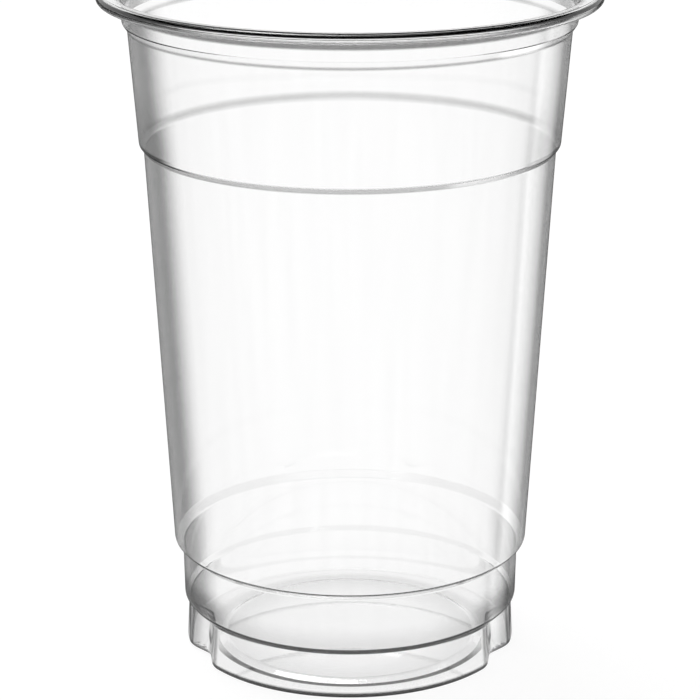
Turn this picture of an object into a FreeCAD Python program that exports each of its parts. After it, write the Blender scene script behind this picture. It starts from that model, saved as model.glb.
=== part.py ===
import FreeCAD, Part
import math
import os

import Sketcher

# A clear disposable cup, drawn from one sheet of plastic: a foot with two flutes, a skirt, a tapered
# body, an upper band, a straight collar, and a mouth that flares out to a hollow rolled lip.
# It stands on the XY plane with its axis on Z, and its front faces -Y.

os.makedirs("parts", exist_ok=True)
doc = FreeCAD.newDocument("disposable_cup")

# Driving sizes, in millimetres and degrees
SIZES = [
    ("rim_diameter", 95.0, "outside of the rolled lip, the size that a lid is made for"),
    ("cup_height", 130.4, "table to the top of the lip"),
    ("foot_diameter", 65.1, "outside of the foot at the table"),
    ("wall", 0.4, "thickness of the formed sheet"),
    ("lip_hollow", 1.3, "height of the space inside the rolled lip"),
    ("lip_flat", 0.05, "upright left between the two rounds of the lip"),
    ("lip_tuck", 0.7, "straight part of the sheet that is tucked in under the lip"),
    ("flare_radius", 3.4, "inside of the bell between the collar and the lip"),
    ("collar_height", 2.4, "straight collar that a lid plugs"),
    ("neck_step", 1.0, "how far the collar stands out from the band"),
    ("neck_rise", 1.5, "height of that step"),
    ("band_height", 21.7, "upper band, from its shoulder to the neck"),
    ("band_draft", 4.48, "lean of the upper band"),
    ("upper_step", 0.9, "how far the band stands out from the body"),
    ("upper_rise", 1.1, "height of that shoulder"),
    ("lower_step", 1.6, "how far the body stands out from the skirt"),
    ("lower_rise", 1.4, "height of that shoulder"),
    ("skirt_height", 10.5, "skirt, between its two shoulders"),
    ("skirt_draft", 1.09, "lean of the skirt"),
    ("base_step", 0.85, "how far the skirt stands out from the top of the foot"),
    ("base_rise", 1.0, "height of that shoulder"),
    ("foot_height", 9.0, "foot, and the flutes in it"),
    ("foot_undercut", 0.45, "how much wider the foot is at the table than at its top"),
    ("standing_ring", 6.15, "width of the flat ring that stands on the table"),
    ("floor_slope", 1.6, "width of the slope up to the floor"),
    ("floor_rise", 0.55, "gap between the floor and the table"),
    ("flute_bearing", 66.0, "from the front to each flute"),
    ("flute_depth", 2.35, "how far a flute is pressed into the foot, at the table"),
    ("flank_slope", 19.0, "between a flank of a flute and the foot's face at the root"),
    ("flute_draft", 5.0, "lean of the flanks, which makes a flute deeper towards its roof"),
    ("shoulder_round", 0.6, "on the outer edges of the shoulders"),
    ("corner_round", 0.4, "in the corners under the shoulders and in the flutes"),
    ("foot_round", 0.75, "on the foot's edge at the table"),
    ("flank_round", 1.0, "where a flute's flanks leave the foot"),
]

sheet = doc.addObject("Spreadsheet::Sheet", "Sizes")
for row, (alias, value, meaning) in enumerate(SIZES, start=1):
    sheet.set(f"A{row}", alias)
    sheet.set(f"B{row}", str(value))
    sheet.set(f"C{row}", meaning)
    sheet.setAlias(f"B{row}", alias)
doc.recompute()

# Two places closer than this are the same place
NEAR = 1e-3


class Size:
    """A length or an angle: its number now, and the words that keep it bound to the sheet."""

    def __init__(self, number, words):
        self.number = number
        self.words = words

    def __add__(self, other):
        other = as_size(other)
        return Size(self.number + other.number, f"({self.words} + {other.words})")

    def __sub__(self, other):
        other = as_size(other)
        return Size(self.number - other.number, f"({self.words} - {other.words})")

    def __mul__(self, other):
        other = as_size(other)
        return Size(self.number * other.number, f"{self.words} * {other.words}")

    def __truediv__(self, other):
        other = as_size(other)
        return Size(self.number / other.number, f"{self.words} / {other.words}")

    def __neg__(self):
        return Size(-self.number, f"({self.words} * -1)")


def as_size(value):
    return value if isinstance(value, Size) else Size(float(value), f"{float(value)}")


def cell(alias):
    return Size(float(getattr(sheet, alias)), f"Sizes.{alias}")


def sine(angle):
    return Size(math.sin(math.radians(angle.number)), f"sin({angle.words})")


def cosine(angle):
    return Size(math.cos(math.radians(angle.number)), f"cos({angle.words})")


def spread(height, draft):
    """How far a wall of some height moves out when it leans by the draft."""
    return Size(
        height.number * math.tan(math.radians(draft.number)), f"{height.words} * tan({draft.words})"
    )


def half_lean(run, rise):
    """Tangent of half the angle between an upright and a slope with this run and rise."""
    number = math.tan(math.atan2(run.number, rise.number) / 2)
    return Size(number, f"tan(atan({run.words} / {rise.words}) / 2)")


def at_least(wanted, least):
    return Size(max(wanted.number, least.number), f"max({wanted.words}; {least.words})")


NOTHING = as_size(0)
WALL = cell("wall")

# Heights of the section's corners, from the table up to the body and from the lip down to it
SKIRT_FOOT = cell("foot_height") + cell("base_rise")
SKIRT_TOP = SKIRT_FOOT + cell("skirt_height")
BODY_FOOT = SKIRT_TOP + cell("lower_rise")
TOP = cell("cup_height")
COLLAR_FOOT = TOP - cell("flare_radius") - cell("collar_height")
NECK = COLLAR_FOOT - cell("neck_rise")
BAND_FOOT = NECK - cell("band_height")
BODY_TOP = BAND_FOOT - cell("upper_rise")

# Outside radii, from the foot out to the body and from the lip in to it
FOOT_RADIUS = cell("foot_diameter") / 2
FOOT_TOP_RADIUS = FOOT_RADIUS - cell("foot_undercut")
SKIRT_FOOT_RADIUS = FOOT_TOP_RADIUS + cell("base_step")
SKIRT_TOP_RADIUS = SKIRT_FOOT_RADIUS + spread(cell("skirt_height"), cell("skirt_draft"))
BODY_FOOT_RADIUS = SKIRT_TOP_RADIUS + cell("lower_step")
LIP_HEIGHT = cell("lip_hollow") + WALL * 2
LIP_RADIUS = cell("rim_diameter") / 2
TUCK_RADIUS = LIP_RADIUS - LIP_HEIGHT / 2 - cell("lip_tuck")
COLLAR_RADIUS = TUCK_RADIUS - cell("flare_radius") + WALL
NECK_RADIUS = COLLAR_RADIUS - cell("neck_step")
BAND_FOOT_RADIUS = NECK_RADIUS - spread(cell("band_height"), cell("band_draft"))
BODY_TOP_RADIUS = BAND_FOOT_RADIUS - cell("upper_step")
STANDING_RADIUS = FOOT_RADIUS - cell("standing_ring")
FLOOR_RADIUS = STANDING_RADIUS - cell("floor_slope")

# How far a corner of the section slides along its straight neighbour for each unit of inset
FLOOR_LEAN = half_lean(cell("floor_rise"), cell("floor_slope"))
BASE_LEAN = half_lean(cell("base_step"), cell("base_rise"))
LOWER_LEAN = half_lean(cell("lower_step"), cell("lower_rise"))
UPPER_LEAN = half_lean(cell("upper_step"), cell("upper_rise"))
NECK_LEAN = half_lean(cell("neck_step"), cell("neck_rise"))

# The smallest round left where a round on the outside is tighter than the sheet is thick
LEAST_ROUND = WALL / 4


def wall_corners(inset):
    """The cup's side and floor, from the middle of the floor up, set in from the outside."""
    return [
        ("floor_middle", NOTHING, cell("floor_rise") + inset),
        ("floor_edge", FLOOR_RADIUS + inset * FLOOR_LEAN, cell("floor_rise") + inset),
        ("standing_edge", STANDING_RADIUS + inset * FLOOR_LEAN, NOTHING + inset),
        ("foot_edge", FOOT_RADIUS - inset, NOTHING + inset),
        ("foot_top", FOOT_TOP_RADIUS - inset, cell("foot_height") + inset * BASE_LEAN),
        ("skirt_foot", SKIRT_FOOT_RADIUS - inset, SKIRT_FOOT + inset * BASE_LEAN),
        ("skirt_top", SKIRT_TOP_RADIUS - inset, SKIRT_TOP + inset * LOWER_LEAN),
        ("body_foot", BODY_FOOT_RADIUS - inset, BODY_FOOT + inset * LOWER_LEAN),
        ("body_top", BODY_TOP_RADIUS - inset, BODY_TOP + inset * UPPER_LEAN),
        ("band_foot", BAND_FOOT_RADIUS - inset, BAND_FOOT + inset * UPPER_LEAN),
        ("neck", NECK_RADIUS - inset, NECK + inset * NECK_LEAN),
        ("collar_foot", COLLAR_RADIUS - inset, COLLAR_FOOT + inset * NECK_LEAN),
    ]


FLANK_TURN = as_size(90) - cell("flank_slope")


def flute_root(inset):
    """From the axis to the root of a flute, at the table."""
    return FOOT_RADIUS - cell("flute_depth") - inset / sine(FLANK_TURN)


def flute_corners(name, side, inset):
    """A flute's triangle on the table: its root and the far ends of its two flanks."""
    bearing = cell("flute_bearing")
    root_across = flute_root(inset) * sine(bearing)
    root_forward = flute_root(inset) * cosine(bearing)
    corners = [(f"{name}_root", root_across * side, -root_forward)]
    for end, heading in (("rear", bearing + FLANK_TURN), ("front", bearing - FLANK_TURN)):
        across = root_across + FOOT_RADIUS * sine(heading)
        forward = root_forward + FOOT_RADIUS * cosine(heading)
        corners.append((f"{name}_{end}", across * side, -forward))
    return corners


def origin_plane(body, role):
    return next(plane for plane in body.Origin.OriginFeatures if plane.Role == role)


def pin(sketch, name, kind, edge, distance):
    """Holds the start of an edge at a distance from the sketch's origin."""
    number = sketch.addConstraint(Sketcher.Constraint(kind, -1, 1, edge, 1, distance.number))
    if distance is not NOTHING:
        sketch.renameConstraint(number, name)
        sketch.setExpression(f"Constraints.{name}", distance.words)


def closed_sketch(body, name, role, outlines):
    """A sketch of closed straight-sided outlines, each corner held by its two distances."""
    sketch = body.newObject("Sketcher::SketchObject", name)
    sketch.AttachmentSupport = [(origin_plane(body, role), "")]
    sketch.MapMode = "FlatFace"
    first = 0
    for corners in outlines:
        for (_, across, up), (_, next_across, next_up) in zip(corners, corners[1:] + corners[:1]):
            start = FreeCAD.Vector(across.number, up.number, 0)
            end = FreeCAD.Vector(next_across.number, next_up.number, 0)
            sketch.addGeometry(Part.LineSegment(start, end), False)
        for index, (corner, across, up) in enumerate(corners):
            edge = first + index
            following = first + (index + 1) % len(corners)
            sketch.addConstraint(Sketcher.Constraint("Coincident", edge, 2, following, 1))
            pin(sketch, f"{corner}_across", "DistanceX", edge, across)
            pin(sketch, f"{corner}_up", "DistanceY", edge, up)
        first += len(corners)
    return sketch


def edge_places(shape):
    """Each edge's name with its first, middle and last points."""
    for number, edge in enumerate(shape.Edges, start=1):
        middle = (edge.FirstParameter + edge.LastParameter) / 2
        points = [edge.valueAt(at) for at in (edge.FirstParameter, middle, edge.LastParameter)]
        yield f"Edge{number}", points


def from_axis(point):
    return math.hypot(point.x, point.y)


def circle_edges(shape, places):
    """The edges that run level round the axis through one of some places of the section."""
    names = []
    for name, (first, middle, last) in edge_places(shape):
        level = abs(first.z - last.z) < NEAR
        for across, up in places:
            on_place = abs(from_axis(middle) - across.number) < NEAR and abs(middle.z - up.number) < NEAR
            if level and on_place:
                names.append(name)
    return names


def table_edges(shape, places):
    """The edges round the foot and its flutes at the table, without the standing ring's inner edge."""
    level = places["foot_edge"][1].number
    inner = circle_edges(shape, [places["standing_edge"]])
    return [
        name
        for name, points in edge_places(shape)
        if name not in inner and all(abs(point.z - level) < NEAR for point in points)
    ]


def flute_edges(shape, inset, at_root):
    """The upright edges of the flutes: at their roots, or where their flanks leave the foot."""
    between = (flute_root(inset).number + FOOT_RADIUS.number - inset.number) / 2
    foot_height = cell("foot_height").number
    names = []
    for name, (first, middle, last) in edge_places(shape):
        tall = abs(first.z - last.z) > foot_height / 2 and middle.z < foot_height
        on_seam = abs(middle.y) < NEAR
        if tall and not on_seam and (from_axis(middle) < between) == at_root:
            names.append(name)
    return names


def rounded(body, name, base, edges, amount):
    """The body so far with some edges rounded."""
    fillet = body.newObject("PartDesign::Fillet", name)
    fillet.Base = (base, edges)
    fillet.setExpression("Radius", amount.words)
    doc.recompute()
    return fillet


def formed_block(name, corners, inset):
    """A turned solid with the two flutes pressed in and the edges of its side rounded."""
    body = doc.addObject("PartDesign::Body", name)
    body.Label = name
    outline = closed_sketch(body, f"{name}_outline", "XZ_Plane", [corners])
    turned = body.newObject("PartDesign::Revolution", f"{name}_turned")
    turned.Profile = outline
    turned.ReferenceAxis = (outline, ["V_Axis"])
    turned.Angle = 360.0

    sides = [flute_corners("left_flute", -1, inset), flute_corners("right_flute", 1, inset)]
    pressed = body.newObject("PartDesign::Pocket", f"{name}_flutes")
    pressed.Profile = closed_sketch(body, f"{name}_flute_outline", "XY_Plane", sides)
    pressed.Reversed = True
    pressed.setExpression("Length", (cell("foot_height") + inset).words)
    pressed.setExpression("TaperAngle", cell("flute_draft").words)
    doc.recompute()
    if pressed.Shape.Volume > turned.Shape.Volume - NEAR:
        raise RuntimeError(f"{name}: the flutes took nothing from the foot")

    places = {corner: (across, up) for corner, across, up in corners}
    shoulders = [places[corner] for corner in ("skirt_foot", "body_foot", "band_foot", "collar_foot")]
    hollows = [places[corner] for corner in ("skirt_top", "body_top", "neck", "floor_edge")]
    hollow_round = cell("corner_round") + inset

    def edge_round(alias):
        return at_least(cell(alias) - inset, LEAST_ROUND)

    done = pressed
    flanks = flute_edges(done.Shape, inset, at_root=False)
    done = rounded(body, f"{name}_flanks", done, flanks, edge_round("flank_round"))
    roots = flute_edges(done.Shape, inset, at_root=True)
    done = rounded(body, f"{name}_roots", done, roots, hollow_round)
    around_foot = table_edges(done.Shape, places)
    done = rounded(body, f"{name}_foot", done, around_foot, edge_round("foot_round"))
    outer = circle_edges(done.Shape, shoulders)
    done = rounded(body, f"{name}_shoulders", done, outer, edge_round("shoulder_round"))
    inner = circle_edges(done.Shape, hollows)
    done = rounded(body, f"{name}_hollows", done, inner, hollow_round)
    return body, done, places


# The outside, with the sheet under the flare folded down and back in to make the lip
LIP_FOOT = TOP - LIP_HEIGHT
LIP_INSIDE_RADIUS = LIP_RADIUS - WALL
outside_corners = wall_corners(NOTHING) + [
    ("flare_under", COLLAR_RADIUS, TOP - WALL),
    ("fold_top", LIP_INSIDE_RADIUS, TOP - WALL),
    ("fold_foot", LIP_INSIDE_RADIUS, LIP_FOOT + WALL),
    ("tuck_top", TUCK_RADIUS, LIP_FOOT + WALL),
    ("tuck_foot", TUCK_RADIUS, LIP_FOOT),
    ("lip_foot", LIP_RADIUS, LIP_FOOT),
    ("lip_top", LIP_RADIUS, TOP),
    ("top_middle", NOTHING, TOP),
]
outside, outside_done, outside_places = formed_block("outside", outside_corners, NOTHING)
LIP_ROUND = (LIP_HEIGHT - cell("lip_flat")) / 2
for feature, corners, amount in (
    ("outside_lip", ("lip_foot", "lip_top"), LIP_ROUND),
    ("outside_fold", ("fold_top", "fold_foot"), LIP_ROUND - WALL),
    ("outside_flare", ("flare_under",), cell("flare_radius") - WALL),
):
    rims = circle_edges(outside_done.Shape, [outside_places[corner] for corner in corners])
    outside_done = rounded(outside, feature, outside_done, rims, amount)

# The inside, the same section set in by the wall, open above the mouth and wider than the lip there
OVER = WALL * 2
inside_corners = wall_corners(WALL) + [
    ("mouth", COLLAR_RADIUS - WALL, TOP),
    ("mouth_edge", LIP_RADIUS + OVER, TOP),
    ("above_edge", LIP_RADIUS + OVER, TOP + OVER),
    ("above_middle", NOTHING, TOP + OVER),
]
inside, inside_done, inside_places = formed_block("inside", inside_corners, WALL)
mouth = circle_edges(inside_done.Shape, [inside_places["mouth"]])
inside_done = rounded(inside, "inside_flare", inside_done, mouth, cell("flare_radius"))

# The sheet between the two
cup = doc.addObject("Part::Cut", "cup")
cup.Label = "cup"
cup.Base = outside
cup.Tool = inside
doc.recompute()

for item in doc.Objects:
    if "Invalid" in item.State or "Error" in item.State:
        raise RuntimeError(f"{item.Label} failed: {item.State}")
if cup.Shape.isNull() or not cup.Shape.isValid() or len(cup.Shape.Solids) != 1:
    raise RuntimeError("the cup is not one sound solid")
cup.Shape.exportStep(f"parts/{cup.Label}.step")
print(f"cup: {len(cup.Shape.Faces)} faces, {cup.Shape.Volume:.2f} cubic millimetres of sheet")
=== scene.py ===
# %% [markdown]
# A clear disposable cup
#
# The part is one formed sheet of clear plastic. Nearly everything that the eye sees of such a cup is
# light that the sheet bends or sends back, so the lesson has three subjects: a very even mesh with both
# faces of the sheet, a clear plastic with painted shade where it is seen edge on and along its lines, and
# a studio that is white behind and below the cup and dark where its shoulders and its lip look.
#
# The solid of the cup is loaded first, as a fixed frame, and its box is kept.

# %% The frame
import math

import bpy
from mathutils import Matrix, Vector


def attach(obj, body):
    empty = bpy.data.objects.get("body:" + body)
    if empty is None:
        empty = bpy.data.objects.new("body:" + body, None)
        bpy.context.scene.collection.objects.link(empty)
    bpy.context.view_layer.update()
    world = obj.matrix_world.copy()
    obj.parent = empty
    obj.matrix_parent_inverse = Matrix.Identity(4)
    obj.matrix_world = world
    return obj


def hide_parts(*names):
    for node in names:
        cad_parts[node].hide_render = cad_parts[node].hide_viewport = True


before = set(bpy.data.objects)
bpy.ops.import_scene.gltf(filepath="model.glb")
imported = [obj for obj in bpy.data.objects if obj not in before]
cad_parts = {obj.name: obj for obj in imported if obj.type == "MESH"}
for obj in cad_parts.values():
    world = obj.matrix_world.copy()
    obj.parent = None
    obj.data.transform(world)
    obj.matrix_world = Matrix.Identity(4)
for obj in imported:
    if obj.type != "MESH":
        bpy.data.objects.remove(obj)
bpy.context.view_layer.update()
scene = bpy.context.scene

# %% [markdown]
# The section of the sheet
#
# On the real cup a plug pushes a hot sheet down into a mould, so its two faces run side by side. A real
# side is a little thinner than the floor, and here the sheet has one thickness. The outer and the inner
# face could each be drawn, but then they would drift apart when a size changes. So the section is
# written once, as the corners of the outer face from the middle of the floor to the end that is tucked
# in under the lip, and the inner face is worked out from it. Radii and heights are added up from steps,
# upwards from the foot and downwards from the lip, and the body takes what is left between them.

# %% Sizes of the foot and the skirt, in metres
MM = 0.001
WALL = 0.4 * MM

FOOT_RADIUS = 32.55 * MM
FOOT_HEIGHT = 9.0 * MM
FOOT_UNDERCUT = 0.45 * MM
FLOOR_RISE = 0.55 * MM
FLOOR_SLOPE = 1.6 * MM
STANDING_RING = 6.15 * MM

BASE_STEP = 0.85 * MM
BASE_RISE = 1.0 * MM
SKIRT_SPREAD = 0.2 * MM
SKIRT_HEIGHT = 10.5 * MM
LOWER_STEP = 1.6 * MM
LOWER_RISE = 1.4 * MM
print("across the foot:", round(2 * FOOT_RADIUS / MM, 1), "mm")

# %% Sizes of the upper part
RIM_RADIUS = 47.5 * MM
CUP_HEIGHT = 130.4 * MM

UPPER_STEP = 0.9 * MM
UPPER_RISE = 1.1 * MM
BAND_SPREAD = 1.7 * MM
BAND_HEIGHT = 21.7 * MM
NECK_STEP = 1.0 * MM
NECK_RISE = 1.5 * MM
COLLAR_HEIGHT = 2.4 * MM
LIP_HEIGHT = 2.1 * MM
LIP_TUCK = 0.7 * MM
print("across the lip:", round(2 * RIM_RADIUS / MM, 1), "mm, tall:", round(CUP_HEIGHT / MM, 1), "mm")

# %% Rounds of the outer face
FLOOR_ROUND = 2.0 * MM
RING_ROUND = 1.0 * MM
FOOT_ROUND = 0.75 * MM
SMALL_ROUND = 0.15 * MM
SHOULDER_ROUND = 0.6 * MM
HOLLOW_ROUND = 0.4 * MM
FLARE_ROUND = 3.0 * MM
FOLD_ROUND = 0.625 * MM

# %% Radii and heights of the outer face
standing = FOOT_RADIUS - STANDING_RING
floor_edge = standing - FLOOR_SLOPE
foot_top = FOOT_RADIUS - FOOT_UNDERCUT
skirt_foot = foot_top + BASE_STEP
skirt_top = skirt_foot + SKIRT_SPREAD
body_foot = skirt_top + LOWER_STEP
tuck_end = RIM_RADIUS - LIP_HEIGHT / 2 - LIP_TUCK
collar = tuck_end - FLARE_ROUND
neck = collar - NECK_STEP
band_foot = neck - BAND_SPREAD
body_top = band_foot - UPPER_STEP

skirt_foot_height = FOOT_HEIGHT + BASE_RISE
skirt_top_height = skirt_foot_height + SKIRT_HEIGHT
body_foot_height = skirt_top_height + LOWER_RISE
collar_foot_height = CUP_HEIGHT - WALL - FLARE_ROUND - COLLAR_HEIGHT
neck_height = collar_foot_height - NECK_RISE
band_foot_height = neck_height - BAND_HEIGHT
body_top_height = band_foot_height - UPPER_RISE
under_flare = CUP_HEIGHT - WALL
fold_foot = CUP_HEIGHT - LIP_HEIGHT + WALL
print("the body runs from", round(body_foot_height / MM, 1), "to", round(body_top_height / MM, 1), "mm")

# %% The outer face, as corners of a radius, a height and a round
OUTER_FACE = [
    (0.0, FLOOR_RISE, 0.0),
    (floor_edge, FLOOR_RISE, FLOOR_ROUND),
    (standing, 0.0, RING_ROUND),
    (FOOT_RADIUS, 0.0, FOOT_ROUND),
    (foot_top, FOOT_HEIGHT, SMALL_ROUND),
    (skirt_foot, skirt_foot_height, SHOULDER_ROUND),
    (skirt_top, skirt_top_height, HOLLOW_ROUND),
    (body_foot, body_foot_height, SHOULDER_ROUND),
    (body_top, body_top_height, HOLLOW_ROUND),
    (band_foot, band_foot_height, SHOULDER_ROUND),
    (neck, neck_height, HOLLOW_ROUND),
    (collar, collar_foot_height, SHOULDER_ROUND),
    (collar, under_flare, FLARE_ROUND),
    (RIM_RADIUS - WALL, under_flare, FOLD_ROUND),
    (RIM_RADIUS - WALL, fold_foot, FOLD_ROUND),
    (tuck_end, fold_foot, 0.0),
]
print(len(OUTER_FACE), "corners on the outer face, and as many on the inner one")

# %% [markdown]
# From corners to an even line
#
# The inner face is the outer one moved sideways by the wall. At a bend, the round of the inner face is
# smaller or larger by the wall, so that the sheet stays as thick as it is elsewhere. A Solidify modifier
# could thicken one face, but it moves points and knows nothing of rounds. Each round is an arc in small
# steps. A straight stretch needs only its ends, and one more point close to each: they stop the smooth
# shading of the round from leaking along the straight wall, which would bend the view through it like a
# bad window pane.

# %% Moving a line of corners to its left
TIGHTEST = 0.12 * MM


def turned_left(vector):
    return Vector((-vector.y, vector.x))


def set_in(corners, distance):
    """The same line moved to its left by a distance, with each round made to suit."""
    moved = []
    for index, (radius, height, round_size) in enumerate(corners):
        here = Vector((radius, height))
        before = here - Vector(corners[index - 1][:2]) if index else None
        after = Vector(corners[index + 1][:2]) - here if index + 1 < len(corners) else None
        first = (before or after).normalized()
        second = (after or before).normalized()
        middle = (turned_left(first) + turned_left(second)).normalized()
        place = here + middle * distance / middle.dot(turned_left(first))
        turn = first.cross(second)
        size = round_size - distance if turn > 0 else round_size + distance
        moved.append((place.x, place.y, max(size, TIGHTEST) if round_size else 0.0))
    return moved


INNER_FACE = set_in(OUTER_FACE, WALL)
print("the floor is", round((INNER_FACE[0][1] - OUTER_FACE[0][1]) / MM, 2), "mm thick")

# %% Rounding a line of corners
ARC_STEP = math.radians(9)
FEWEST_STEPS = 2
GUARD = 0.06 * MM


def spun(vector, angle):
    """A vector turned by an angle, anticlockwise."""
    return Vector((
        vector.x * math.cos(angle) - vector.y * math.sin(angle),
        vector.x * math.sin(angle) + vector.y * math.cos(angle),
    ))


def rounded_line(corners):
    """Points along a line of corners, with an arc at each round and a guard beside it."""
    points = [Vector(corners[0][:2])]
    for before, here, after in zip(corners, corners[1:], corners[2:]):
        corner = Vector(here[:2])
        back = (Vector(before[:2]) - corner).normalized()
        onward = (Vector(after[:2]) - corner).normalized()
        half = back.angle(onward) / 2
        reach = here[2] / math.tan(half)
        centre = corner + (back + onward).normalized() * here[2] / math.sin(half)
        start = corner + back * reach - centre
        turn = math.pi - 2 * half
        if start.cross(corner + onward * reach - centre) < 0:
            turn = -turn
        steps = max(FEWEST_STEPS, math.ceil(abs(turn) / ARC_STEP))
        points.append(corner + back * (reach + GUARD))
        points += [centre + spun(start, turn * step / steps) for step in range(steps + 1)]
        points.append(corner + onward * (reach + GUARD))
    points.append(Vector(corners[-1][:2]))
    return points


outer_line = rounded_line(OUTER_FACE)
inner_line = rounded_line(INNER_FACE)
print(len(outer_line), "points on the outer line,", len(inner_line), "on the inner one")

# %% [markdown]
# The flutes
#
# Two upright grooves are pressed into the foot, one each side of the front. Each is a V of two flat
# flanks that leaves a small roof under the base shoulder. They could be cut with a boolean, but that
# leaves long thin faces which show in clear plastic. The mesh here is a lathe, so a flute is worked out
# as how far the foot is pushed in, at a bearing and a height. It fades out over a short height at the
# roof, as hot plastic does in a mould.

# %% Sizes of a flute
FLUTE_BEARING = math.radians(66)
FLUTE_REACH = math.radians(16)
FLUTE_DEPTH = 2.35 * MM
FLUTE_LEAN = 0.0925
FLANK_ANGLE = math.radians(71)
FLANK_ROUND = 0.9 * MM
ROOT_ROUND = 0.03
ROOF_LOW = FOOT_HEIGHT - 0.25 * MM
ROOF_HIGH = FOOT_HEIGHT + 0.15 * MM
print("flutes at", round(math.degrees(FLUTE_BEARING)), "degrees on each side of the front")

# %% How far a flute pushes the foot in


def smooth_step(low, high, value):
    """Zero below low, one above high, and a smooth way between."""
    share = min(max((value - low) / (high - low), 0.0), 1.0)
    return share * share * (3 - 2 * share)


def soft_above_zero(value, width):
    """The value where it is above zero and zero where it is below, with a round between."""
    if value > width:
        return value
    return (value + width) ** 2 / (4 * width) if value > -width else 0.0


def flute_push(off, radius, height, lift):
    """How far a point of the foot is pushed in. Off is its bearing from the flute, lift its inset."""
    if abs(off) > FLUTE_REACH or height > ROOF_HIGH + lift or radius < standing:
        return 0.0
    rise = max(height - lift, 0.0)
    wall_here = FOOT_RADIUS - FOOT_UNDERCUT * rise / FOOT_HEIGHT
    root = FOOT_RADIUS - FLUTE_DEPTH - FLUTE_LEAN * rise
    sideways = math.sqrt(math.sin(off) ** 2 + ROOT_ROUND ** 2) - ROOT_ROUND / 2
    flank = root / (math.cos(off) - sideways / math.tan(FLANK_ANGLE))
    push = soft_above_zero(wall_here - flank, FLANK_ROUND)
    roof = 1 - smooth_step(ROOF_LOW, ROOF_HIGH, height - lift)
    across = min(1.0, (radius - standing) / (foot_top - WALL - standing))
    return push * roof * across


depth_at_table = flute_push(0.0, FOOT_RADIUS, 0.0, 0.0)
print("a flute is", round(depth_at_table / MM, 2), "mm deep at the table")

# %% [markdown]
# The mesh
#
# The section is turned round the axis. A screw modifier would do it for a plain cup, but here the flutes
# change the radius with the bearing, so the rings are made in a loop. The steps are even, apart from the
# flutes, where they are small enough to draw the flanks. Both faces use the same bearings, so a ray
# passes two parallel facets and comes out in the direction it went in.

# %% Bearings
COARSE = math.radians(2.0)
FINE = math.radians(0.5)
FLUTE_ZONE = math.radians(14)


def bearings():
    """Bearings from the back all the way round, finer at the flutes. The front, -Y, is at zero."""
    found = []
    at = -math.pi
    while at < math.pi - FINE / 2:
        found.append(at)
        near_flute = abs(abs(at) - FLUTE_BEARING) < FLUTE_ZONE
        at += FINE if near_flute else COARSE
    return found


around = bearings()
print(len(around), "bearings")

# %% Rows
ROOF_ROWS = 0.12 * MM
FOOT_ROWS = 0.9 * MM
WALL_ROWS = 40 * MM
ROOF_ZONE = 1.2 * MM


def with_foot_rows(points, lift):
    """Adds points along the straight stretches that the flutes bend."""
    rows = [points[0]]
    for here, there in zip(points, points[1:]):
        in_foot = max(here.x, there.x) > standing and min(here.y, there.y) < FOOT_HEIGHT + lift
        near_roof = in_foot and abs((here.y + there.y) / 2 - FOOT_HEIGHT - lift) < ROOF_ZONE
        spacing = ROOF_ROWS if near_roof else FOOT_ROWS if in_foot else WALL_ROWS
        count = max(1, math.ceil((there - here).length / spacing))
        rows += [here.lerp(there, step / count) for step in range(1, count + 1)]
    return rows


outer_rows = with_foot_rows(outer_line, 0.0)
inner_rows = with_foot_rows(inner_line, WALL)
rows = [(point, 0.0) for point in outer_rows] + [(point, WALL) for point in inner_rows[::-1]]
print(len(rows), "rows")

# %% Turning the section


def ring_of(point, lift):
    """One row of the section, all the way round."""
    ring = []
    for bearing in around:
        radius = point.x - flute_push(abs(bearing) - FLUTE_BEARING, point.x, point.y, lift)
        ring.append((radius * math.sin(bearing), -radius * math.cos(bearing), point.y))
    return ring


def make_cup():
    """The cup's closed mesh. The first and last rows are single points on the axis."""
    vertices = [(0.0, 0.0, rows[0][0].y)]
    for point, lift in rows[1:-1]:
        vertices += ring_of(point, lift)
    vertices.append((0.0, 0.0, rows[-1][0].y))
    last = len(vertices) - 1
    steps = len(around)
    faces = []
    for step in range(steps):
        beside = (step + 1) % steps
        faces.append((0, 1 + beside, 1 + step))
        for ring in range(len(rows) - 3):
            low = 1 + ring * steps
            high = low + steps
            faces.append((low + step, low + beside, high + beside, high + step))
        top = last - steps
        faces.append((last, top + step, top + beside))
    mesh = bpy.data.meshes.new("clear_cup")
    mesh.from_pydata(vertices, [], faces)
    mesh.polygons.foreach_set("use_smooth", [True] * len(mesh.polygons))
    mesh.update()
    piece = bpy.data.objects.new("clear_cup", mesh)
    scene.collection.objects.link(piece)
    return piece


cup = make_cup()
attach(cup, "root")
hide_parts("cup")
print(len(cup.data.polygons), "faces")

# %% [markdown]
# The camera
#
# A product photo of a cup is taken from a little above its rim, with a long lens. A camera could be
# moved by eye until the outline fits, but then a wrong distance can hide behind a wrong lens. Here the
# distance, the height and the pitch come from the widths and the bow of the rings that the cup has at
# known heights. The lens is given in pixels of a picture 700 wide, and is turned into millimetres for
# the sensor.

# %% The camera's place and lens
FOCAL_PIXELS = 2673.19
PICTURE_PIXELS = 700
SENSOR = 36.0
NEAREST_SEEN = 0.01
CAMERA_BACK = 496.64 * MM
CAMERA_HEIGHT = 216.14 * MM
CAMERA_PITCH = math.radians(17.535)

camera_data = bpy.data.cameras.new("camera")
camera_data.sensor_width = SENSOR
camera_data.lens = FOCAL_PIXELS * SENSOR / PICTURE_PIXELS
camera_data.clip_start = NEAREST_SEEN
camera = bpy.data.objects.new("camera", camera_data)
camera.location = (0.0, -CAMERA_BACK, CAMERA_HEIGHT)
camera.rotation_euler = (math.pi / 2 - CAMERA_PITCH, 0.0, 0.0)
scene.collection.objects.link(camera)
scene.camera = camera
print("lens:", round(camera_data.lens, 1), "mm")

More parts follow.
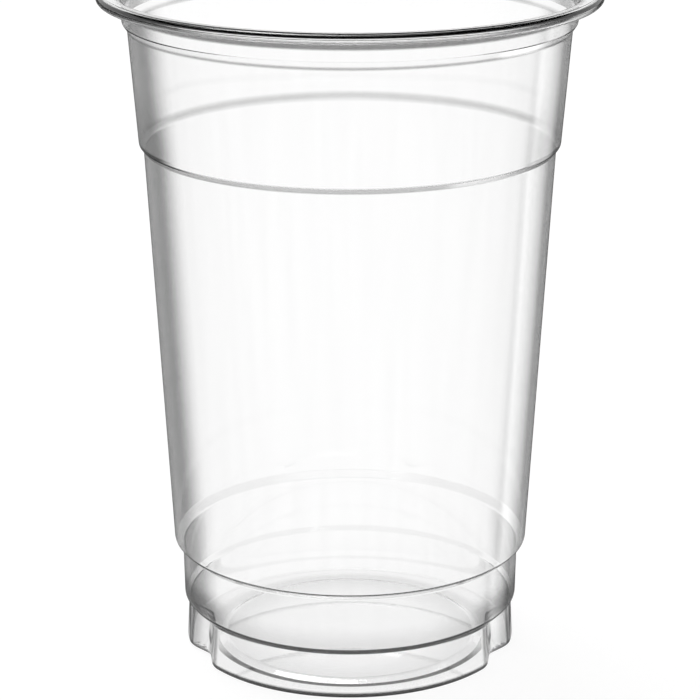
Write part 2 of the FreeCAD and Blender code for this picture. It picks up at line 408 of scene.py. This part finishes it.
# %% [markdown]
# Shader maths as Python
#
# A finish is a sum of small ideas: a mask by height, a mask by the angle of view, one tint times another.
# Written as Python expressions they stay readable. The class below wraps one socket of a node. Adding,
# taking away, multiplying and dividing wrapped sockets adds the Math nodes, and one method makes any
# other node.

# %% A wrapped socket


class Wire:
    """A node's output. The operators of Python add Math nodes to its tree."""

    def __init__(self, tree, socket=None):
        self.tree = tree
        self.socket = socket

    def node(self, kind, settings=None, inputs=None, output=0):
        """Makes a node, sets it up, joins its inputs, and wraps one of its outputs."""
        made = self.tree.nodes.new(kind)
        for name, value in (settings or {}).items():
            setattr(made, name, value)
        for name, value in (inputs or {}).items():
            if isinstance(value, Wire):
                self.tree.links.new(value.socket, made.inputs[name])
            else:
                made.inputs[name].default_value = value
        return Wire(self.tree, made.outputs[output] if len(made.outputs) else None)

    def maths(self, operation, *values):
        return self.node("ShaderNodeMath", {"operation": operation}, dict(enumerate(values)))

    def vectors(self, operation, *values, output=0):
        settings = {"operation": operation}
        return self.node("ShaderNodeVectorMath", settings, dict(enumerate(values)), output)

    def part_of(self, vector, axis):
        """One coordinate of a vector."""
        return self.node("ShaderNodeSeparateXYZ", inputs={0: vector}, output=axis)

    def __add__(self, other):
        return self.maths("ADD", self, other)

    def __sub__(self, other):
        return self.maths("SUBTRACT", self, other)

    def __rsub__(self, other):
        return self.maths("SUBTRACT", other, self)

    def __mul__(self, other):
        return self.maths("MULTIPLY", self, other)

    def __truediv__(self, other):
        return self.maths("DIVIDE", self, other)

    def __rtruediv__(self, other):
        return self.maths("DIVIDE", other, self)

    __radd__ = __add__
    __rmul__ = __mul__

    def grows(self, low, high, start=0.0, end=1.0):
        """A value that goes smoothly from start to end while this one goes from low to high."""
        ends = {"Value": self, "From Min": low, "From Max": high, "To Min": start, "To Max": end}
        return self.node("ShaderNodeMapRange", {"interpolation_type": "SMOOTHSTEP"}, ends)

    def fades(self, low, high):
        """One below low and zero above high, with a smooth way between."""
        return 1 - self.grows(low, high)

    def within(self, low, high, soft):
        """One between two values, zero outside them, with soft ends."""
        return self.grows(low - soft, low + soft) * self.fades(high - soft, high + soft)

    def as_grey(self):
        """This value as a colour, the same in red, green and blue."""
        channels = dict.fromkeys(("Red", "Green", "Blue"), self)
        return self.node("ShaderNodeCombineColor", inputs=channels)


def fresh_tree(owner):
    """An empty node tree on a material or a world."""
    owner.use_nodes = True
    owner.node_tree.nodes.clear()
    return Wire(owner.node_tree)


# %% [markdown]
# Places on the cup
#
# A UV map could say where a line lies on the cup, but a cup is round, so a place is easier to say by its
# height, its distance from the axis and its bearing from the front. All three come from the object's
# own coordinates, so they stay on the cup wherever it is seen from.
#
# A ray on its way through the cup meets the outside and the inside of the sheet twice each. The normal
# says which face it is: it points away from the axis outside, and towards it inside. A ray that leaves
# the plastic meets a face from the back, so the backfacing output tells coming in from going out.

# %% Height, radius and bearing
plastic = bpy.data.materials.new("clear_plastic")
finish = fresh_tree(plastic)

place = finish.node("ShaderNodeTexCoord", output="Object")
height = finish.part_of(place, "Z")
sideways = finish.part_of(place, "X")
backwards = finish.part_of(place, "Y")
flat_place = finish.vectors("MULTIPLY", place, (1, 1, 0))
radius = finish.vectors("LENGTH", flat_place, output="Value")
bearing = finish.maths("ABSOLUTE", finish.maths("ARCTAN2", sideways, 0 - backwards))
print(len(plastic.node_tree.nodes), "nodes find a place on the cup")

# %% The face that a ray meets
PLAIN_BLEND = 0.5
LEANS = 0.35
LIES_FLAT = 0.6

turned = finish.node("ShaderNodeLayerWeight", inputs={"Blend": PLAIN_BLEND}, output="Facing")
normal = finish.node("ShaderNodeNewGeometry", output="Normal")
inside_sheet = finish.node("ShaderNodeNewGeometry", output="Backfacing")
entering = 1 - inside_sheet
outward = finish.vectors("DOT_PRODUCT", normal, flat_place, output="Value")
from_outside = finish.maths("GREATER_THAN", outward, 0.0) * entering
from_inside = finish.maths("LESS_THAN", outward, 0.0) * entering
upright = finish.maths("ABSOLUTE", finish.part_of(normal, "Z")).fades(LEANS, LIES_FLAT)

# %% [markdown]
# Clear plastic
#
# The sheet is clear all through, so its shader only lets light through and sends some back. Where the
# sheet is seen edge on, painted shade in the base colour darkens the cup along its sides, for the dark
# parts of the studio that the edges mirror and bend; a fainter painted shade darkens the body a little
# from its middle towards its sides. The painted shade follows the angle between the surface and the ray,
# from a Layer Weight node: 0 is seen face on, and 1 edge on. Its strong part acts only where light enters
# the sheet, because the plastic bends a ray that comes in towards the other face. The weights and depths
# below were set by comparing renders with the photo.

# %% Painted shade of the sheet, by angle
SHEET_TINT = 0.986
EDGE_STARTS = 0.44
EDGE_ENDS = 0.68
EDGE_SHADE = 0.31
LAST_EDGE = 0.86
LAST_EDGE_SHADE = 0.44
SIDE_SHADE_TURN = 0.45
SIDE_SHADE_DEPTH = 0.035


def paint_shade(colour, where, depth):
    """Painted shade: the colour times a mask that takes the given depth away."""
    return colour * (1 - where * depth)


edge = turned.grows(EDGE_STARTS, EDGE_ENDS) * (1 - EDGE_SHADE)
edge = edge - turned.grows(EDGE_ENDS, LAST_EDGE) * (LAST_EDGE_SHADE - EDGE_SHADE)
clear = (1 - edge * upright) * SHEET_TINT
clear = paint_shade(clear, turned.grows(0.0, SIDE_SHADE_TURN), SIDE_SHADE_DEPTH)

# %% [markdown]
# The shoulders
#
# A shoulder leans, so it mirrors and bends another part of the room than the wall does: it shows as a
# grey or black line on the nearer side, and as a soft one across the cup. The mesh bends the light by
# itself, and cards in the room could do the rest, but each card would show in every line at once. So a
# band by height says where each line is, and the angle of the surface says how dark it is there. Every
# band starts from a height of the section, and stays on its shoulder when a size changes.

# %% How soft a line's edges are, and where it lies
CRISP = 0.12 * MM
FIRM = 0.16 * MM
SOFT = 0.24 * MM
HAZY = 0.48 * MM


def span_from(start, low, high):
    """Two places, given in millimetres from one that the section has."""
    return start + low * MM, start + high * MM


# %% Lines at the upper shoulder
SHOULDER_DEPTH = 0.66
ACROSS = (body_top_height + 0.5 * MM, band_foot_height + 0.7 * MM)
ACROSS_DEPTH = 0.5
CORNER = span_from(band_foot_height, 0.0, 0.8)
CORNER_TURN = (0.45, 0.62)
CORNER_DEPTH = 0.95

upper_shoulder = height.within(body_top_height, band_foot_height, FIRM)
clear = paint_shade(clear, upper_shoulder * from_outside, SHOULDER_DEPTH)
clear = paint_shade(clear, height.within(*ACROSS, HAZY) * from_inside, ACROSS_DEPTH)
upper_corner = height.within(*CORNER, FIRM) * turned.grows(*CORNER_TURN)
clear = paint_shade(clear, upper_corner * from_outside, CORNER_DEPTH)

# %% Lines at the neck and at the base shoulder
NECK_LINE = span_from(neck_height, -0.1, 0.5)
NECK_DEPTH = 0.3
NECK_OUTSIDE_DEPTH = 0.4
BASE_LINE = (FOOT_HEIGHT - 0.25 * MM, skirt_foot_height + 0.4 * MM)
BASE_FROM = span_from(foot_top, -0.6, -0.2)
BASE_TURN = (0.12, 0.42)
BASE_DEPTH = 0.995

neck_line = height.within(*NECK_LINE, SOFT)
clear = paint_shade(clear, neck_line, NECK_DEPTH)
clear = paint_shade(clear, neck_line * from_outside, NECK_OUTSIDE_DEPTH)
base_shoulder = height.within(*BASE_LINE, CRISP) * radius.grows(*BASE_FROM)
clear = paint_shade(clear, base_shoulder * turned.grows(*BASE_TURN) * from_outside, BASE_DEPTH)

# %% The foot of the skirt
SKIRT_BEGINS = span_from(skirt_foot_height, 0.0, 0.3)
SKIRT_ENDS = span_from(skirt_foot_height, 0.3, 5.5)
SKIRT_DEPTH = 0.34
SKIRT_SIDE_BEGINS = span_from(skirt_foot_height, -0.4, 1.0)
SKIRT_SIDE_ENDS = span_from(skirt_foot_height, 3.0, 8.0)
SKIRT_TURN = (0.32, 0.52)
SKIRT_SIDE_DEPTH = 0.85

# Painted shade: the skirt darker just above its foot, and darker still at its sides, for the room that it
# mirrors.
skirt_shade = height.grows(*SKIRT_BEGINS) * height.fades(*SKIRT_ENDS)
clear = paint_shade(clear, skirt_shade * from_outside, SKIRT_DEPTH)
skirt_side = height.grows(*SKIRT_SIDE_BEGINS) * height.fades(*SKIRT_SIDE_ENDS)
clear = paint_shade(clear, skirt_side * turned.grows(*SKIRT_TURN) * from_outside, SKIRT_SIDE_DEPTH)

# %% The foot of the band
BAND_BEGINS = span_from(band_foot_height, 0.0, 0.6)
BAND_ENDS = span_from(band_foot_height, 2.6, 14.6)
BAND_TURN = (0.42, 0.62)
BAND_SIDE_DEPTH = 0.5

# Painted shade: the sides of the band darker above its foot, for the room that they mirror.
band_side = height.grows(*BAND_BEGINS) * height.fades(*BAND_ENDS)
clear = paint_shade(clear, band_side * turned.grows(*BAND_TURN) * from_outside, BAND_SIDE_DEPTH)
print(len(plastic.node_tree.nodes), "nodes up to the shoulders")

# %% [markdown]
# The lip
#
# The sheet flares out, folds down and ends tucked in, so the lip is a small hollow tube. A tube of clear
# plastic turns the room upside down: its top and its side show black lines, and its foot and the flare
# grey ones, with bright gaps between them. As at the shoulders, bands say where the lines lie, here both
# by height and by radius, because the sheet turns right round in the lip. They are counted from the top
# of the cup and from the outside of the lip.

# %% Lines on the fold
FOLD_BEGINS = span_from(CUP_HEIGHT, -0.9, -0.73)
FOLD_ENDS = span_from(CUP_HEIGHT, -0.26, -0.08)
FOLD_FROM = span_from(RIM_RADIUS, -0.9, -0.65)
FOLD_DEPTH = 0.995
LIP_SIDE = span_from(CUP_HEIGHT, -1.5, -0.7)
LIP_FROM = span_from(RIM_RADIUS, -0.5, -0.2)
LIP_TURN = (0.14, 0.34)
LIP_DEPTH = 0.97

fold_top = height.grows(*FOLD_BEGINS) * height.fades(*FOLD_ENDS) * radius.grows(*FOLD_FROM)
clear = paint_shade(clear, fold_top, FOLD_DEPTH)
lip_side = height.within(*LIP_SIDE, FIRM) * radius.grows(*LIP_FROM)
clear = paint_shade(clear, lip_side * turned.grows(*LIP_TURN) * from_outside, LIP_DEPTH)

# %% Lines under the fold and on the flare
UNDER_ENDS = span_from(CUP_HEIGHT, -1.95, -1.65)
UNDER_FROM = span_from(RIM_RADIUS, -1.1, -0.7)
UNDER_DEPTH = 0.82
FLARE_BEGINS = span_from(CUP_HEIGHT, -3.95, -3.4)
FLARE_ENDS = span_from(CUP_HEIGHT, -2.8, -2.4)
FLARE_TO = span_from(RIM_RADIUS, -3.3, -2.7)
FLARE_DEPTH = 0.74

under_fold = height.fades(*UNDER_ENDS) * radius.grows(*UNDER_FROM)
clear = paint_shade(clear, under_fold, UNDER_DEPTH)
flare = height.grows(*FLARE_BEGINS) * height.fades(*FLARE_ENDS) * radius.fades(*FLARE_TO)
clear = paint_shade(clear, flare, FLARE_DEPTH)
print(len(plastic.node_tree.nodes), "nodes up to the lip")

# %% [markdown]
# The floor of the cup and its standing ring
#
# The floor stands a little off the table, and slopes down to the ring that the cup stands on. Painted
# shade draws its near edge as a black line and its far edge as a soft grey one, and darkens the floor
# towards its edge, so that it is palest in the middle; they stand in for light that the thin plastic
# bends and mirrors there. The two edges could be told apart by the bearing, but then they would be wrong
# from behind. How dark a thin edge of clear plastic looks depends on how flatly it is seen, and the far
# one is seen a little flatter than the near one. So the angle weight chooses the line. It is set for the
# photo's height of view, and from straight above the whole ring is dark.

# %% The line on the ring
FLOOR_ZONE = (0.5 * MM, 0.9 * MM)
RING_LINE = span_from(standing, 0.1, 1.4)
RING_SOFT = 0.15 * MM
RING_TURN = (0.592, 0.603)
RING_DEPTH = 0.998

low = height.fades(*FLOOR_ZONE)
ring_edge = radius.within(*RING_LINE, RING_SOFT) * low * turned.fades(*RING_TURN)
clear = paint_shade(clear, ring_edge * entering, RING_DEPTH)

# %% The shades of the floor
FLOOR_FROM = span_from(floor_edge, -9.8, 0.7)
FLOOR_TO = span_from(floor_edge, -0.5, 0.0)
FLOOR_DEPTH = 0.34
FAR_FROM = span_from(floor_edge, -3.8, -2.4)
FAR_TO = span_from(floor_edge, 2.7, 5.2)
FAR_TURN = (0.594, 0.606)
FAR_DEPTH = 0.3

floor_shade = radius.grows(*FLOOR_FROM) * radius.fades(*FLOOR_TO) * low
clear = paint_shade(clear, floor_shade, FLOOR_DEPTH)
far_band = radius.grows(*FAR_FROM) * radius.fades(*FAR_TO) * low * turned.grows(*FAR_TURN)
clear = paint_shade(clear, far_band * entering, FAR_DEPTH)

# %% The lower edge of the foot
EDGE_SIDE = span_from(foot_top, 0.0, 0.1)
EDGE_FROM = span_from(foot_top, -1.2, -0.5)
EDGE_FOOT = (0.2 * MM, 0.4 * MM)
EDGE_TOP = (0.9 * MM, 1.5 * MM)
NOT_FACE_ON = (0.0, 0.03)
FOOT_EDGE_DEPTH = 0.995

# Painted shade: a black line along the lower edge of the foot, for the light that its round bends away.
foot_edge = finish.maths("MAXIMUM", radius.grows(*EDGE_SIDE), height.fades(*EDGE_FOOT))
foot_edge = foot_edge * radius.grows(*EDGE_FROM) * height.fades(*EDGE_TOP)
clear = paint_shade(clear, foot_edge * turned.grows(*NOT_FACE_ON) * from_outside, FOOT_EDGE_DEPTH)
print(len(plastic.node_tree.nodes), "nodes up to the foot")

# %% [markdown]
# Lines in the flutes
#
# Each flute has two flanks and two outer corners, and every one of them bends the light another way. The
# bearing says which of them a place is on, the same on the left and on the right. Painted shade makes the
# flank that is further from the front dark, with a black crease at its corner, and draws the nearer
# corner as a thin grey line.

# %% Bearings that look dark in the foot
CREASE = (math.radians(75.4), math.radians(77.2))
FLANK_FROM = (math.radians(69.0), math.radians(75.0))
FLANK_TO = (math.radians(77.0), math.radians(79.0))
FRONT_CORNER = (math.radians(53.0), math.radians(55.5))
LINE_SOFT = math.radians(0.7)
UNDER_ROOF = span_from(FOOT_HEIGHT, -0.8, -0.1)
CREASE_DEPTH = 0.9
FLANK_DEPTH = 0.62
FRONT_CORNER_DEPTH = 0.5

in_foot = height.fades(*UNDER_ROOF) * from_outside * upright
clear = paint_shade(clear, bearing.within(*CREASE, LINE_SOFT) * in_foot, CREASE_DEPTH)
flank = bearing.grows(*FLANK_FROM) * bearing.fades(*FLANK_TO)
clear = paint_shade(clear, flank * in_foot, FLANK_DEPTH)
clear = paint_shade(clear, bearing.within(*FRONT_CORNER, LINE_SOFT) * in_foot, FRONT_CORNER_DEPTH)

# %% The foot of the further flank
FAR_FLANK = (math.radians(67.0), math.radians(77.5))
FAR_FLANK_SOFT = math.radians(1.0)
FLUTE_FOOT_TOP = (0.7 * MM, 1.2 * MM)
FLUTE_FOOT_FROM = span_from(FOOT_RADIUS - FLUTE_DEPTH, -0.8, -0.4)
FLUTE_FOOT_DEPTH = 0.9

# Painted shade: a dark patch at the foot of the further flank.
flute_foot = bearing.within(*FAR_FLANK, FAR_FLANK_SOFT) * height.fades(*FLUTE_FOOT_TOP)
flute_foot = flute_foot * radius.grows(*FLUTE_FOOT_FROM)
clear = paint_shade(clear, flute_foot * from_outside, FLUTE_FOOT_DEPTH)
print(len(plastic.node_tree.nodes), "nodes say where the plastic is dark")

# %% [markdown]
# The marks of forming
#
# A drawn sheet is never quite even. It has faint upright streaks where it was stretched, and its gloss
# is a little duller in places. They could be modelled, but are far too shallow for a mesh. One noise,
# squeezed round the cup and stretched along its height, gives the streaks to the relief and to the tint.
# A second one gives the dull places.

# %% Streaks and gloss
STREAK_SIZE = (420.0, 420.0, 9.0)
STREAK_DETAIL = 2.0
STREAK_DEPTH = 0.003 * MM
STREAK_RANGE = (0.35, 0.65)
STREAK_TINT = (0.99, 1.0)
GLOSS_SIZE = 60.0
GLOSS_RANGE = (0.4, 0.7)
GLOSS_ROUGHNESS = (0.0, 0.02)

drawn = finish.vectors("MULTIPLY", place, STREAK_SIZE)
grain = {"Vector": drawn, "Scale": 1.0, "Detail": STREAK_DETAIL}
streaks = finish.node("ShaderNodeTexNoise", inputs=grain, output="Fac")
bump = {"Height": streaks, "Strength": 1.0, "Distance": STREAK_DEPTH}
relief = finish.node("ShaderNodeBump", inputs=bump)
clear = clear * streaks.grows(*STREAK_RANGE, *STREAK_TINT)
dull = finish.node("ShaderNodeTexNoise", inputs={"Vector": place, "Scale": GLOSS_SIZE}, output="Fac")
gloss = dull.grows(*GLOSS_RANGE, *GLOSS_ROUGHNESS)

# %% [markdown]
# The shader
#
# The plastic of such cups is often PET, with an index of about 1.57. A Glass shader would bend light the
# same way, but the Principled shader is the one that other programs know when the model is exported.
# With full transmission it bends light by its index, and mirrors more of it the flatter it comes in. The
# tint and the painted shade go into the base colour, the same for red, green and blue, because the sheet
# is colourless.

# %% Clear PET
PET_INDEX = 1.57

glass = finish.node("ShaderNodeBsdfPrincipled", inputs={
    "Base Color": clear.as_grey(),
    "Roughness": gloss,
    "Normal": relief,
    "IOR": PET_INDEX,
    "Transmission Weight": 1.0,
})
finish.node("ShaderNodeOutputMaterial", inputs={"Surface": glass})
cup.data.materials.append(plastic)
print(len(plastic.node_tree.nodes), "nodes in the plastic")

# %% [markdown]
# The table
#
# A clear thing is photographed on white. Plain white paper could be lit until it is white, but that
# much light would flatten the cup. So the table glows by itself for the camera and for the rays that go
# through the cup, and a little plain white in it lets the cup throw a soft shadow. It lies a hair below
# the foot, because two faces in one plane would flicker.

# %% A large sheet of white
TABLE_SIDE = 6.0
TABLE_DROP = 0.3 * MM

corners = [(-TABLE_SIDE, -TABLE_SIDE, 0), (TABLE_SIDE, -TABLE_SIDE, 0)]
corners += [(TABLE_SIDE, TABLE_SIDE, 0), (-TABLE_SIDE, TABLE_SIDE, 0)]
floor_mesh = bpy.data.meshes.new("floor")
floor_mesh.from_pydata(corners, [], [(0, 1, 2, 3)])
floor = bpy.data.objects.new("floor", floor_mesh)
floor.location = (0, 0, -TABLE_DROP)
scene.collection.objects.link(floor)

# %% Which rays see the table as white
paper = bpy.data.materials.new("floor_white")
sheet = fresh_tree(paper)
from_camera = sheet.node("ShaderNodeLightPath", output="Is Camera Ray")
through_cup = sheet.node("ShaderNodeLightPath", output="Is Transmission Ray")
seen = sheet.maths("MAXIMUM", from_camera, through_cup)

# %% [markdown]
# What the cup mirrors
#
# Rays that bounce off the cup see the table as a studio would have it: a bright strip behind the cup on
# the right, which makes that side of the cup paler than the other, half light in front and nearly none
# behind. Real cards could stand there, but they would get in the way of other views. The wall mirrors a
# place on the table from its own radius and not from the axis, so the strip's edges are moved to suit.

# %% The strip, the front and the back
STRIP_FROM = math.radians(111)
STRIP_TO = math.radians(149)
STRIP_STARTS = (0.0, 0.15)
STRIP_ENDS = (-0.38, 0.0)
STRIP_LIGHT = 3.0
FRONT_LIGHT = 0.45
FRONT_FADES = (-0.35, 0.2)
BACK_LIGHT = 0.03
MIRROR_RADIUS = 37.0 * MM

spot = sheet.node("ShaderNodeTexCoord", output="Object")
distance = sheet.vectors("LENGTH", spot, output="Value")


def past(limit):
    """The sine of how far a place is past a bearing, as the wall of the cup mirrors it."""
    side = (math.cos(limit), math.sin(limit), 0.0)
    beyond = sheet.vectors("DOT_PRODUCT", spot, side, output="Value")
    return (beyond + MIRROR_RADIUS * math.sin(limit / 2)) / distance


strip = past(STRIP_FROM).grows(*STRIP_STARTS) * past(STRIP_TO).fades(*STRIP_ENDS)
towards_front = sheet.vectors("DOT_PRODUCT", spot, (0, -1, 0), output="Value") / distance
front = towards_front.grows(*FRONT_FADES)
mirrored = strip * STRIP_LIGHT + front * FRONT_LIGHT + BACK_LIGHT

# %% The table's light
TABLE_SEEN = 0.93
PAPER = 0.12

light = sheet.maths("MAXIMUM", seen * TABLE_SEEN, mirrored * (1 - seen))
glow = sheet.node("ShaderNodeEmission", inputs={"Color": light.as_grey(), "Strength": 1.0})
white_paper = sheet.node("ShaderNodeBsdfDiffuse", inputs={"Color": (PAPER, PAPER, PAPER, 1.0)})
both = sheet.node("ShaderNodeAddShader", inputs={0: glow, 1: white_paper})
sheet.node("ShaderNodeOutputMaterial", inputs={"Surface": both})
floor_mesh.materials.append(paper)
print(len(paper.node_tree.nodes), "nodes in the table")

# %% [markdown]
# The room
#
# A picture of a studio could light the cup, but bands by height are easier to place. The room is white
# from below up to nearly a third of the way overhead, dark above that, and white again at the top. The
# rim and the shoulders mirror the dark band, which helps to draw their lines. The camera sees white in
# every direction, so the cup can be looked at from the side too.

# %% Bands of the room, by how far up they are
HORIZON = (math.sin(math.radians(26)), math.sin(math.radians(30)))
OVERHEAD = (math.sin(math.radians(62)), math.sin(math.radians(70)))
ROOM_LIGHT = 0.8

room = bpy.data.worlds.new("studio")
scene.world = room
air = fresh_tree(room)
direction = air.node("ShaderNodeTexCoord", output="Generated")
rise = air.part_of(direction, "Z")
low_white = rise.fades(*HORIZON)
overhead = rise.grows(*OVERHEAD)
seen_directly = air.node("ShaderNodeLightPath", output="Is Camera Ray")
seen_through = air.node("ShaderNodeLightPath", output="Is Transmission Ray")
lit = (low_white + overhead) * ROOM_LIGHT + low_white * seen_through * (1 - ROOM_LIGHT)
brightness = air.maths("MAXIMUM", lit, seen_directly)
backdrop = air.node("ShaderNodeBackground", inputs={"Color": brightness.as_grey(), "Strength": 1.0})
air.node("ShaderNodeOutputWorld", inputs={"Surface": backdrop})
print(len(room.node_tree.nodes), "nodes in the room")

# %% [markdown]
# The lamp
#
# One softbox hangs over the cup, a little behind it and to the left, so the shadow falls softly towards
# the front right. It is large for its distance, which keeps the shadow's edge soft. A smaller lamp, or
# one further off, would draw a hard one. Its mirror image would lie on the outside of the cup as a
# bright square, so rays that only bounce don't see it.

# %% A softbox
LAMP_SIDE = 0.7
LAMP_PLACE = (-0.25, 0.35, 1.1)
LAMP_POWER = 11.0

lamp_data = bpy.data.lights.new("softbox", "AREA")
lamp_data.size = LAMP_SIDE
lamp_data.energy = LAMP_POWER
softbox = bpy.data.objects.new("softbox", lamp_data)
softbox.location = LAMP_PLACE
softbox.rotation_euler = Vector(LAMP_PLACE).to_track_quat("Z", "Y").to_euler()
softbox.visible_glossy = False
scene.collection.objects.link(softbox)

scene.view_settings.view_transform = "Standard"
